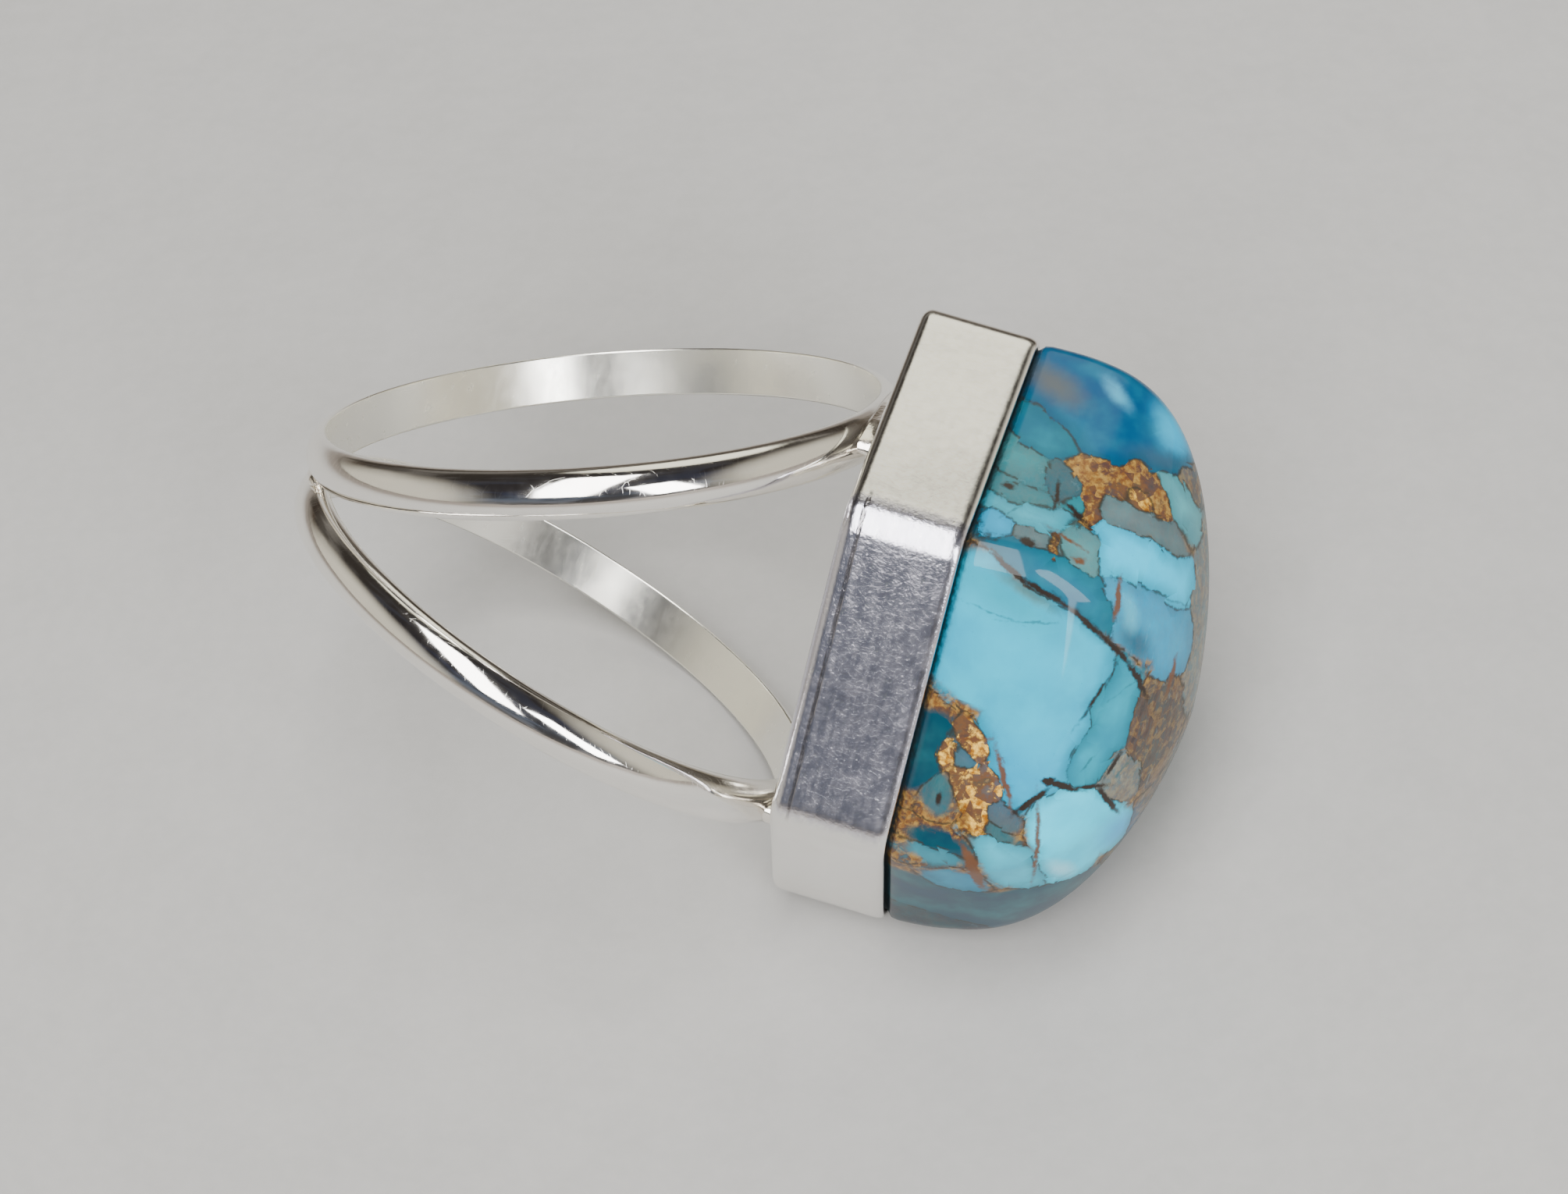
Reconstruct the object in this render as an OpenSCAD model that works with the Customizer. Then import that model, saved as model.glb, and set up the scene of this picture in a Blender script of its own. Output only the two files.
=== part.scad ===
// Turquoise ring with a split shank, lying on a level surface as it rests by itself.
// Two half-round bands are soldered side by side at the palm and lean apart towards the
// head. The head is a deep bezel with a long six-sided outline, closed behind by a plate,
// and it holds one tall cabochon.
// The ring is drawn in the head's own frame: X runs out through the stone, Y across the
// finger and Z along the finger. It is then turned into its rest pose with +Z up.

/* [Shank] */
// Inside diameter of the finger hole
hole_d = 17.3; // [15:0.1:22]
// Width of each band
band_w = 1.55; // [1.3:0.05:1.8]
// Thickness of each band at its crown
band_t = 0.65; // [0.55:0.05:0.75]
// Thickness of each band at its two edges
band_edge = 0.15; // [0.1:0.05:0.25]
// Angle by which each band leans away from the middle of the finger
band_lean = 18; // [14:0.5:22]
// Distance of each band's middle from the other's edge, at the palm
palm_offset = 0.75; // [0.65:0.05:0.8]
// Radius of the solder that fills the groove at the palm
seam_r = 0.2; // [0.15:0.05:0.3]
// Angle of the shank that this solder covers to each side of the palm
seam_reach = 14; // [8:1:20]
// Angle by which the head is turned against the shank
head_turn = 7.5; // [0:0.5:10]

/* [Bezel] */
// Thickness of the back plate
plate_t = 0.6; // [0.5:0.05:0.9]
// Depth to which the bands' crowns are let into the back plate
seat_depth = 0.16; // [0.1:0.02:0.3]
// Height of the bezel wall above the back plate
wall_h = 3.11; // [2.5:0.01:4]
// Thickness of the bezel wall
wall_t = 0.3; // [0.25:0.05:0.4]
// Distance of the outline's upper tip from the middle
tip_up = 10.2; // [9.5:0.1:11]
// Distance of the outline's lower tip from the middle
tip_down = 9.7; // [9:0.1:10.5]
// Half width of the outline at its two upper corners
shoulder_y = 6.4; // [6:0.1:7]
// Height of the two upper corners above the middle
shoulder_z = 4.65; // [4:0.05:5]
// Half width of the outline at its lower corner on the near side
near_hip_y = 5.8; // [5.6:0.1:6.4]
// Depth of that corner below the middle
near_hip_z = 5.4; // [4.8:0.1:5.8]
// Half width of the outline at its lower corner on the far side, where the head rests
far_hip_y = 6.5; // [5.6:0.1:6.8]
// Depth of that corner below the middle
far_hip_z = 4.745; // [4.4:0.005:5.4]
// Corner radii of the upper tip, an upper corner, a lower corner and the lower tip
tip_up_r = 0.8; // [0.7:0.1:1.2]
shoulder_r = 1.3; // [1:0.1:2]
hip_r = 1.6; // [1:0.1:2.4]
tip_down_r = 2; // [1:0.1:2.4]

/* [Stone] */
// Gap between the stone and the silver around it
stone_gap = 0.05; // [0.03:0.01:0.1]
// Height of the stone above the bezel's rim
stone_h = 7.5; // [5:0.1:9]
// How far the stone's side lies inside the bezel's outline, just above the rim
stone_inset = 0.12; // [0:0.02:0.3]
// Share of the stone's height over which it swells out above the rim
swell = 0.04; // [0.02:0.01:0.08]
// Share of the stone's height up to which its six sides stay straight
straight_part = 0.3; // [0.1:0.05:0.5]
// Share of the stone's height, counted on past its top, at which the six sides become an oval
oval_part = 1.2; // [1:0.1:1.5]
// How late the dome starts to close, and how flat its top is
dome_late = 3; // [2:0.1:4]
dome_flat = 1.6; // [1.2:0.1:2.4]
// Height of the section's middle at the rim and at the stone's top
stone_mid_low = -0.8; // [-1.5:0.1:0.5]
stone_mid_top = 0.1; // [-0.5:0.1:1]

/* [Rest pose] */
// Angle by which the ring is turned about the stone's own direction, onto its lower side
side_lean = 37.4; // [0:0.05:60]
// Angle by which the stone's direction dips below level
nose_dip = 9.95; // [0:0.05:20]
// Angle by which the resting ring is turned on the surface
table_turn = -17.7; // [-180:0.1:180]

/* [Hidden] */
silver = [0.76, 0.75, 0.72];
turquoise = [0.22, 0.62, 0.70];

hole_r = hole_d / 2;
// Circle of the band's domed side, through the tops of its two edges
dome_rise = band_t - band_edge;
dome_r = (pow(band_w / 2, 2) + pow(dome_rise, 2)) / (2 * dome_rise);

// Furthest reach of the bands' crowns towards the head, seen along the turned head's X
loop_mid_x = -hole_r * (1 - cos(band_lean));
crown_span = norm([cos(head_turn) * cos(band_lean), sin(head_turn)]);
crown_x = loop_mid_x * cos(head_turn) + (hole_r + band_t) * crown_span;
plate_x = crown_x - seat_depth;
cup_x = plate_x + plate_t;
rim_x = cup_x + wall_h;

// Outline of the bezel: sharp corners in the Y-Z plane, counterclockwise, with their radii
CORNER_Y = 0;
CORNER_Z = 1;
CORNER_R = 2;
corners = [
    [0, tip_up, tip_up_r],
    [-shoulder_y, shoulder_z, shoulder_r],
    [-near_hip_y, -near_hip_z, hip_r],
    [0, -tip_down, tip_down_r],
    [far_hip_y, -far_hip_z, hip_r],
    [shoulder_y, shoulder_z, shoulder_r],
];
corner_count = len(corners);
function at(i) = (i + corner_count) % corner_count;
function corner_point(i) = [corners[at(i)][CORNER_Y], corners[at(i)][CORNER_Z]];
function unit(v) = v / norm(v);
// Outward normal of the side from corner i to the next one
function side_normal(i) =
    let (along = unit(corner_point(i + 1) - corner_point(i)))
    [along[1], -along[0]];
// Middle of the arc that rounds corner i and touches both of its sides
function arc_middle(i) =
    let (n = unit(side_normal(i - 1) + side_normal(i)))
    corner_point(i) - n * corners[at(i)][CORNER_R] / (n * side_normal(i));
// Directions of the normals round corner i, from one side's to the next one's
arc_steps = 8;
function angle_of(v) = atan2(v[1], v[0]);
function arc_angles(i) =
    let (
        from = angle_of(side_normal(i - 1)),
        turn = (angle_of(side_normal(i)) - from + 720) % 360
    )
    [for (k = [0:arc_steps]) from + turn * k / arc_steps];
// Points round the outline, drawn in by inset
function outline_points(inset) = [
    for (i = [0:corner_count - 1], a = arc_angles(i))
        arc_middle(i) + (corners[i][CORNER_R] - inset) * [cos(a), sin(a)]
];
// Tangent lines round the outline, each with its outward normal and its distance from the
// stone's middle at the rim
tangents = [
    for (i = [0:corner_count - 1], a = arc_angles(i))
        let (n = [cos(a), sin(a)])
        [n, n * (arc_middle(i) - [0, stone_mid_low]) + corners[i][CORNER_R]]
];
// Reach of the outline from the stone's middle in the direction u
function outline_reach(u, inset) = min([
    for (t = tangents)
        if (t[0] * u > 0.05) (t[1] - inset) / (t[0] * u)
]);
// Reach of an oval with the same width, top and bottom
oval_top = tip_up - stone_inset - stone_mid_low;
oval_bottom = tip_down - stone_inset + stone_mid_low;
oval_side = max([for (p = outline_points(stone_inset)) p[0]]);
function oval_reach(u) =
    1 / norm([u[0] / oval_side, u[1] / (u[1] > 0 ? oval_top : oval_bottom)]);

// Sections of the stone from its flat back to just under its top, as shares of the height
// above the rim; the first two lie in the cup
stone_dirs = 72;
dome_steps = 18;
levels = [
    -(wall_h - stone_gap) / stone_h,
    0.005,
    swell,
    for (k = [2:dome_steps - 1]) sin(90 * k / dome_steps)
];
function dome_share(s) = pow(1 - pow(s, dome_late), 1 / dome_flat);
function stone_reach(s, u) =
    s < swell
        ? outline_reach(u, wall_t + stone_gap)
        : let (mix = max(0, min(1, (s - straight_part) / (oval_part - straight_part))))
          dome_share(s) * (outline_reach(u, stone_inset) * (1 - mix) + oval_reach(u) * mix);
function stone_mid(s) = stone_mid_low + (stone_mid_top - stone_mid_low) * pow(max(s, 0), 1.5);
stone_points = concat(
    [for (s = levels, k = [0:stone_dirs - 1])
        let (
            a = 360 * k / stone_dirs,
            u = [cos(a), sin(a)],
            r = stone_reach(s, u)
        )
        [rim_x + stone_h * s, r * u[0], stone_mid(s) + r * u[1]]],
    [[cup_x + stone_gap, 0, stone_mid_low], [rim_x + stone_h, 0, stone_mid_top]]
);
back_point = len(levels) * stone_dirs;
top_point = back_point + 1;
function ring_point(level, k) = level * stone_dirs + k % stone_dirs;
stone_faces = concat(
    [for (k = [0:stone_dirs - 1]) [back_point, ring_point(0, k), ring_point(0, k + 1)]],
    [for (j = [0:len(levels) - 2], k = [0:stone_dirs - 1])
        [ring_point(j, k), ring_point(j + 1, k), ring_point(j + 1, k + 1)]],
    [for (j = [0:len(levels) - 2], k = [0:stone_dirs - 1])
        [ring_point(j, k), ring_point(j + 1, k + 1), ring_point(j, k + 1)]],
    [for (k = [0:stone_dirs - 1])
        [ring_point(len(levels) - 1, k), top_point, ring_point(len(levels) - 1, k + 1)]]
);

// Turning a point about X, Y and Z in that order
function turned_x(p, a) = [p[0], p[1] * cos(a) - p[2] * sin(a), p[1] * sin(a) + p[2] * cos(a)];
function turned_y(p, a) = [p[0] * cos(a) + p[2] * sin(a), p[1], p[2] * cos(a) - p[0] * sin(a)];
function turned_z(p, a) = [p[0] * cos(a) - p[1] * sin(a), p[0] * sin(a) + p[1] * cos(a), p[2]];
function at_rest(p) = turned_z(turned_y(turned_x(p, -side_lean), nose_dip), table_turn);

// Outer points of the silver, to find where the turned ring lies
function band_point(side, a, across) =
    let (
        rise = sqrt(dome_r * dome_r - across * across) - dome_r + band_t,
        r = hole_r + rise,
        flat = [hole_r + r * cos(a), r * sin(a), across],
        leaned = turned_y(flat, -side * band_lean) + [-hole_r, 0, side * palm_offset]
    )
    turned_z(leaned, head_turn);
band_points = [
    for (side = [-1, 1], a = [0:1.5:358], share = [-1:0.25:1])
        band_point(side, a, share * band_w / 2)
];
head_points = [for (x = [plate_x, rim_x], p = outline_points(0)) [x, p[0], p[1]]];
rest_points = [for (p = concat(stone_points, band_points, head_points)) at_rest(p)];
low = [for (k = [0:2]) min([for (p = rest_points) p[k]])];
high = [for (k = [0:2]) max([for (p = rest_points) p[k]])];
to_origin = [-(low[0] + high[0]) / 2, -(low[1] + high[1]) / 2, -low[2]];

module rest_pose() {
    translate(to_origin)
        rotate([-side_lean, nose_dip, table_turn])
            children();
}

// One band: a full loop, flat inside and domed outside
module band() {
    rotate_extrude($fn = 144)
        intersection() {
            translate([hole_r + band_t - dome_r, 0]) circle(r = dome_r, $fn = 72);
            translate([hole_r, -band_w / 2]) square([band_t, band_w]);
        }
}

// Solder that fills the groove between the two bands at the palm
module palm_seam() {
    seam_path_r = hole_r + seam_r + 0.02;
    rotate([0, 0, 180 - seam_reach])
        rotate_extrude(angle = 2 * seam_reach, $fn = 144)
            translate([seam_path_r, 0]) circle(r = seam_r, $fn = 32);
    for (a = [180 - seam_reach, 180 + seam_reach])
        rotate([0, 0, a]) translate([seam_path_r, 0, 0]) sphere(r = seam_r, $fn = 32);
}

// Both bands lean apart from the palm and touch the head's back plate with their crowns
module shank() {
    rotate([0, 0, head_turn]) {
        for (side = [-1, 1])
            translate([-hole_r, 0, side * palm_offset])
                rotate([0, -side * band_lean, 0])
                    translate([hole_r, 0, 0])
                        band();
        palm_seam();
    }
}

// A slab of the outline from x_from to x_to, drawn in by inset, with its first axis along Y
module slab(x_from, x_to, inset) {
    translate([x_from, 0, 0])
        rotate([90, 0, 90])
            linear_extrude(height = x_to - x_from) polygon(outline_points(inset));
}

module head() {
    difference() {
        slab(plate_x, rim_x, 0);
        slab(cup_x, rim_x + 1, wall_t);
    }
}

// Bands, solder, back plate and bezel wall, soldered into one
module silver_setting() {
    color(silver)
        rest_pose() {
            shank();
            head();
        }
}

module turquoise_stone() {
    color(turquoise)
        rest_pose()
            polyhedron(points = stone_points, faces = stone_faces, convexity = 4);
}

silver_setting();
turquoise_stone();
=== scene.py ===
"""A turquoise ring with a split shank, lying on a pale floor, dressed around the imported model.

The silver and the stone are rebuilt here with the finish of the real ring: polished
half-round bands, a deep bezel with a rubbed-over rim, solder at the joints, and a tall
cabochon of pressed turquoise with dark veins and copper-coloured matrix.
Sizes are in millimetres, in the head's own frame: X runs out through the stone, Y across
the finger and Z along the finger. Meshes are in metres, in the part's frame.
"""

import logging
import math
from collections.abc import Callable
from dataclasses import dataclass
from enum import Enum

import bpy
import numpy as np
from mathutils import Matrix, Vector


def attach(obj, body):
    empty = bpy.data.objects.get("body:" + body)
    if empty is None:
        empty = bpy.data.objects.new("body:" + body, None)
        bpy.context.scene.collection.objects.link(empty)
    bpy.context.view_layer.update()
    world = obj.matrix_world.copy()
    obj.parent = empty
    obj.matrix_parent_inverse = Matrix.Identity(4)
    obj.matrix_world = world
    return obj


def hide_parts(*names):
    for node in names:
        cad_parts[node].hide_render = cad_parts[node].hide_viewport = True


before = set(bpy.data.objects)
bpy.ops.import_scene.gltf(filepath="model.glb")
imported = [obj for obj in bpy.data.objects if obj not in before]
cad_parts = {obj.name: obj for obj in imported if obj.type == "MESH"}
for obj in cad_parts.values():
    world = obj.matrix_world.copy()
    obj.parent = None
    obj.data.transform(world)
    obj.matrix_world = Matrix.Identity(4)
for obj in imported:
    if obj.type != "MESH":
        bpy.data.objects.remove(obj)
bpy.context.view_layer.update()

log = logging.getLogger("ring")
MM = 0.001
BODY = "root"


# Places


@dataclass(frozen=True)
class Sizes:
    """The ring's driving sizes in millimetres and degrees, as in the part's source."""

    hole_r: float = 8.65
    band_w: float = 1.55
    band_t: float = 0.65
    band_edge: float = 0.15
    band_lean: float = 18.0
    palm_offset: float = 0.75
    head_turn: float = 7.5
    seat_depth: float = 0.16
    plate_t: float = 0.6
    wall_h: float = 3.11
    wall_t: float = 0.3
    stone_gap: float = 0.05
    stone_h: float = 7.5
    stone_inset: float = 0.12
    swell: float = 0.04
    straight_part: float = 0.3
    oval_part: float = 1.2
    dome_late: float = 3.0
    dome_flat: float = 1.6
    stone_mid_low: float = -0.8
    stone_mid_top: float = 0.1

    @property
    def dome_r(self) -> float:
        """Radius of the bands' domed side."""
        rise = self.band_t - self.band_edge
        return ((self.band_w / 2) ** 2 + rise**2) / (2 * rise)

    @property
    def plate_x(self) -> float:
        """Where the back plate's outer face lies, let in on the bands' crowns."""
        lean, turn = math.radians(self.band_lean), math.radians(self.head_turn)
        middle = -self.hole_r * (1 - math.cos(lean)) * math.cos(turn)
        span = math.hypot(math.cos(turn) * math.cos(lean), math.sin(turn))
        return middle + (self.hole_r + self.band_t) * span - self.seat_depth

    @property
    def cup_x(self) -> float:
        """Where the floor of the bezel's cup lies."""
        return self.plate_x + self.plate_t

    @property
    def rim_x(self) -> float:
        """Where the bezel's rim lies."""
        return self.cup_x + self.wall_h


SIZE = Sizes()


@dataclass(frozen=True)
class HeadFrame:
    """How the head's own frame lies in the part's frame, in degrees."""

    side_lean: float = 37.4
    nose_dip: float = 9.95
    table_turn: float = -17.7

    @property
    def axes(self) -> Matrix:
        """Rotation from the head's frame to the part's."""
        about_x = Matrix.Rotation(math.radians(-self.side_lean), 3, "X")
        about_y = Matrix.Rotation(math.radians(self.nose_dip), 3, "Y")
        about_z = Matrix.Rotation(math.radians(self.table_turn), 3, "Z")
        return about_z @ about_y @ about_x

    @property
    def origin(self) -> Vector:
        """The head's origin in metres: the stone's top is its vertex that lies furthest out."""
        out = self.axes.col[0]
        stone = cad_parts["turquoise_stone"].data.vertices
        top = max((v.co for v in stone), key=lambda co: co.dot(out))
        return top - self.axes @ (Vector((SIZE.rim_x + SIZE.stone_h, 0, SIZE.stone_mid_top)) * MM)

    @property
    def place(self) -> Matrix:
        """The whole move from millimetres in the head's frame to metres in the part's."""
        return Matrix.Translation(self.origin) @ self.axes.to_4x4() @ Matrix.Scale(MM, 4)


HEAD = HeadFrame()


# Outline of the head


@dataclass(frozen=True)
class Corner:
    """A rounded corner of the bezel's outline: its sharp point and its radius."""

    y: float
    z: float
    radius: float


@dataclass(frozen=True)
class BezelOutline:
    """The long six-sided outline of the head, seen along X."""

    corners: tuple[Corner, ...] = (
        Corner(0, 10.2, 0.8),
        Corner(-6.4, 4.65, 1.3),
        Corner(-5.8, -5.4, 1.6),
        Corner(0, -9.7, 2.0),
        Corner(6.5, -4.745, 1.6),
        Corner(6.4, 4.65, 1.3),
    )
    arc_steps: int = 14
    side_steps: int = 22
    least_radius: float = 0.04

    def _point(self, i: int) -> np.ndarray:
        """The sharp point of corner i."""
        corner = self.corners[i % len(self.corners)]
        return np.array((corner.y, corner.z))

    def _normal(self, i: int) -> np.ndarray:
        """Outward normal of the side from corner i to the next one."""
        along = self._point(i + 1) - self._point(i)
        along = along / np.linalg.norm(along)
        return np.array((along[1], -along[0]))

    def _arc(self, i: int) -> tuple[np.ndarray, np.ndarray]:
        """Middle of corner i's arc, and the angles of the normals round it."""
        first, last = self._normal(i - 1), self._normal(i)
        mean = (first + last) / np.linalg.norm(first + last)
        middle = self._point(i) - mean * self.corners[i].radius / mean.dot(last)
        start = math.atan2(first[1], first[0])
        turn = (math.atan2(last[1], last[0]) - start) % (2 * math.pi)
        return middle, start + turn * np.linspace(0, 1, self.arc_steps + 1)

    def ring(self, inset: float) -> np.ndarray:
        """Points round the outline, drawn in by inset, with points along the sides too.

        Args:
            inset: how far inside the full outline the ring runs, in millimetres.

        Returns:
            An array of (y, z) points, in the same number and order for every inset.
        """
        arcs = []
        for i, corner in enumerate(self.corners):
            middle, angles = self._arc(i)
            radius = max(corner.radius - inset, self.least_radius)
            shift = (corner.radius - inset - radius) / math.cos((angles[-1] - angles[0]) / 2)
            mean = np.array((math.cos(angles.mean()), math.sin(angles.mean())))
            round_points = np.stack((np.cos(angles), np.sin(angles)), 1) * radius
            arcs.append(middle + mean * shift + round_points)
        points = []
        for i, arc in enumerate(arcs):
            after = arcs[(i + 1) % len(arcs)][0]
            points.extend(arc)
            for k in range(1, self.side_steps):
                points.append(arc[-1] + (after - arc[-1]) * k / self.side_steps)
        return np.array(points)

    def tangents(self, middle_z: float) -> tuple[np.ndarray, np.ndarray]:
        """Normals of tangent lines round the outline, and their distances from the middle."""
        normals, heights = [], []
        for i, corner in enumerate(self.corners):
            middle, angles = self._arc(i)
            for angle in angles:
                n = np.array((math.cos(angle), math.sin(angle)))
                normals.append(n)
                heights.append(n.dot(middle - np.array((0, middle_z))) + corner.radius)
        return np.array(normals), np.array(heights)


OUTLINE = BezelOutline()


# Meshes


def make_object(name: str, mesh: bpy.types.Mesh, slot: str, *materials: bpy.types.Material,
                replaces: str | None = None) -> bpy.types.Object:
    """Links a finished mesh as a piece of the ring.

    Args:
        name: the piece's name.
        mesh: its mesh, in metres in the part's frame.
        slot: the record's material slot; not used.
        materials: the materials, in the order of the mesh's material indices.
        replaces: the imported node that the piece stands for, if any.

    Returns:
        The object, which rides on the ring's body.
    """
    piece = bpy.data.objects.new(name, mesh)
    bpy.context.scene.collection.objects.link(piece)
    mesh.materials.clear()
    for material in materials:
        mesh.materials.append(material)
    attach(piece, BODY)
    if replaces:
        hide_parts(replaces)
    log.info("%s: %d faces", name, len(mesh.polygons))
    return piece


def lofted(name: str, rings: list[np.ndarray], ends: tuple[np.ndarray, np.ndarray],
           place: Matrix) -> bpy.types.Mesh:
    """A closed skin through rings of equally many points, with a middle point at each end.

    Args:
        name: the mesh's name.
        rings: arrays of (x, y, z) points, in order along the piece.
        ends: the middle points that close the first and the last ring.
        place: the move into the part's frame.

    Returns:
        A smooth-shaded mesh whose faces point outwards.
    """
    count = len(rings[0])
    points = np.concatenate(rings + [np.array(ends)])
    first_end, last_end = len(points) - 2, len(points) - 1
    faces = []
    for k in range(count):
        after = (k + 1) % count
        faces.append((first_end, after, k))
        for j in range(len(rings) - 1):
            low, high = j * count, (j + 1) * count
            faces.append((low + k, low + after, high + after, high + k))
        last = (len(rings) - 1) * count
        faces.append((last_end, last + k, last + after))
    mesh = bpy.data.meshes.new(name)
    mesh.from_pydata([place @ Vector(p) for p in points], [], faces)
    face_outwards(mesh)
    mesh.shade_smooth()
    return mesh


def face_outwards(mesh: bpy.types.Mesh) -> None:
    """Turns a closed mesh the right way round if its signed volume is negative."""
    mesh.update()
    volume = 0.0
    for face in mesh.polygons:
        first = mesh.vertices[face.vertices[0]].co
        for a, b in zip(face.vertices[1:-1], face.vertices[2:]):
            volume += first.dot(mesh.vertices[a].co.cross(mesh.vertices[b].co))
    if volume < 0:
        mesh.flip_normals()
    mesh.update()


def ripple(points: np.ndarray, size: float, seed: int, waves: int = 14) -> np.ndarray:
    """A smooth random height for each point, from about -1 to 1.

    Args:
        points: an array of points, in any number of dimensions.
        size: the rough length of one wave, in the points' units.
        seed: the seed of the waves' directions and phases.
        waves: how many sine waves are added.

    Returns:
        One height for each point.
    """
    random = np.random.default_rng(seed)
    total = np.zeros(len(points))
    for _ in range(waves):
        direction = random.normal(size=points.shape[1])
        direction *= 2 * math.pi / (size * random.uniform(0.6, 1.8) * np.linalg.norm(direction))
        total += np.sin(points @ direction + random.uniform(0, 2 * math.pi))
    return total * math.sqrt(2 / waves) / 1.6


# Shader maths


def math_operator(operation: str, reflected: bool = False) -> Callable[..., "Wire"]:
    """A method of Wire that makes one Math node.

    Args:
        operation: the node's operation.
        reflected: whether the wire comes last, as in Python's reflected operators.

    Returns:
        The method, which takes the other operands.
    """

    def method(wire: "Wire", *others: "Wire | float | None") -> "Wire":
        """One Math node on the wire and the other operands."""
        values = (*others, wire) if reflected else (wire, *others)
        return wire.tree.node("ShaderNodeMath", {"operation": operation}, *values)

    return method


class Wire:
    """A node's output socket, on which Python's operators build Math nodes."""

    __add__, __radd__ = math_operator("ADD"), math_operator("ADD", reflected=True)
    __sub__, __rsub__ = math_operator("SUBTRACT"), math_operator("SUBTRACT", reflected=True)
    __mul__, __rmul__ = math_operator("MULTIPLY"), math_operator("MULTIPLY", reflected=True)
    __truediv__, __rtruediv__ = math_operator("DIVIDE"), math_operator("DIVIDE", reflected=True)
    __pow__, __rpow__ = math_operator("POWER"), math_operator("POWER", reflected=True)
    __abs__ = math_operator("ABSOLUTE")

    def __init__(self, tree: "NodeMaker", socket: bpy.types.NodeSocket | None) -> None:
        """Wraps a socket of a node in this tree."""
        self.tree = tree
        self.socket = socket

    def least(self, other: "Wire | float", soft: "Wire | float | None" = None) -> "Wire":
        """The smaller of the two, blended over a difference of soft where that is given."""
        return math_operator("MINIMUM" if soft is None else "SMOOTH_MIN")(self, other, soft)

    def most(self, other: "Wire | float", soft: "Wire | float | None" = None) -> "Wire":
        """The larger of the two, blended over a difference of soft where that is given."""
        return math_operator("MAXIMUM" if soft is None else "SMOOTH_MAX")(self, other, soft)

    def step(self, low: float, high: float, start: float = 0.0, end: float = 1.0) -> "Wire":
        """A smooth step from start at low to end at high."""
        return self.tree.node("ShaderNodeMapRange", {"interpolation_type": "SMOOTHSTEP"},
                              self, low, high, start, end)


class NodeMaker:
    """A node tree, with one method that makes every node."""

    def __init__(self, tree: bpy.types.NodeTree) -> None:
        """Empties the tree for new nodes."""
        self.nodes = tree.nodes
        self.links = tree.links
        self.nodes.clear()

    def node(self, kind: str, settings: dict | None = None, *values: object,
             output: int | str = 0, **named: object) -> Wire:
        """Makes a node, sets it up and feeds its sockets.

        Args:
            kind: the node's type.
            settings: its properties, or a ramp's stops under "stops"; they are set first.
            values: values or wires for its first sockets, in order; None leaves one as it is.
            output: the output that the returned wire stands for.
            named: values or wires for sockets by name, with _ for a space.

        Returns:
            The wire from that output.
        """
        made = self.nodes.new(kind)
        for key, value in (settings or {}).items():
            if key == "stops":
                self._set_stops(made.color_ramp, value)
            else:
                setattr(made, key, value)
        for i, value in enumerate(values):
            self._feed(made.inputs[i], value)
        for key, value in named.items():
            self._feed(made.inputs[key.replace("_", " ")], value)
        return Wire(self, made.outputs[output]) if made.outputs else Wire(self, None)

    def _feed(self, socket: bpy.types.NodeSocket, value: object) -> None:
        """Links a wire or a list of wires to a socket, or sets a plain value on it."""
        if isinstance(value, (Wire, list)):
            for wire in value if isinstance(value, list) else [value]:
                self.links.new(wire.socket, socket)
        elif value is not None:
            socket.default_value = value

    @staticmethod
    def _set_stops(ramp: bpy.types.ColorRamp, stops: tuple) -> None:
        """Gives a colour ramp its stops, each a place and a colour."""
        while len(ramp.elements) < len(stops):
            ramp.elements.new(0.5)
        for element, (place, tint) in zip(ramp.elements, stops):
            element.position = place
            element.color = (*tint, 1)

    def part(self, vector: Wire, axis: str) -> Wire:
        """One coordinate of a vector."""
        return self.node("ShaderNodeSeparateXYZ", None, vector, output=axis)

    def vector(self, operation: str, *values: object, output: int | str = 0,
               **named: object) -> Wire:
        """One Vector Math node on these values."""
        return self.node("ShaderNodeVectorMath", {"operation": operation}, *values,
                         output=output, **named)

    def noise(self, vector: Wire, scale: float, detail: float, roughness: float = 0.5,
              output: str | int = 0) -> Wire:
        """Fractal noise."""
        return self.node("ShaderNodeTexNoise", None, output=output, Vector=vector, Scale=scale,
                         Detail=detail, Roughness=roughness)

    def ramp(self, share: Wire, *stops: tuple[float, tuple[float, float, float]]) -> Wire:
        """A colour ramp, each of whose stops is a place and a colour."""
        return self.node("ShaderNodeValToRGB", {"stops": stops}, share)

    def mix(self, share: "Wire | float", first: object, second: object) -> Wire:
        """Mixes two colours by share."""
        return self.node("ShaderNodeMix", {"data_type": "RGBA", "clamp_factor": True}, share,
                         None, None, None, None, None, colour(first), colour(second), output=2)


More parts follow.
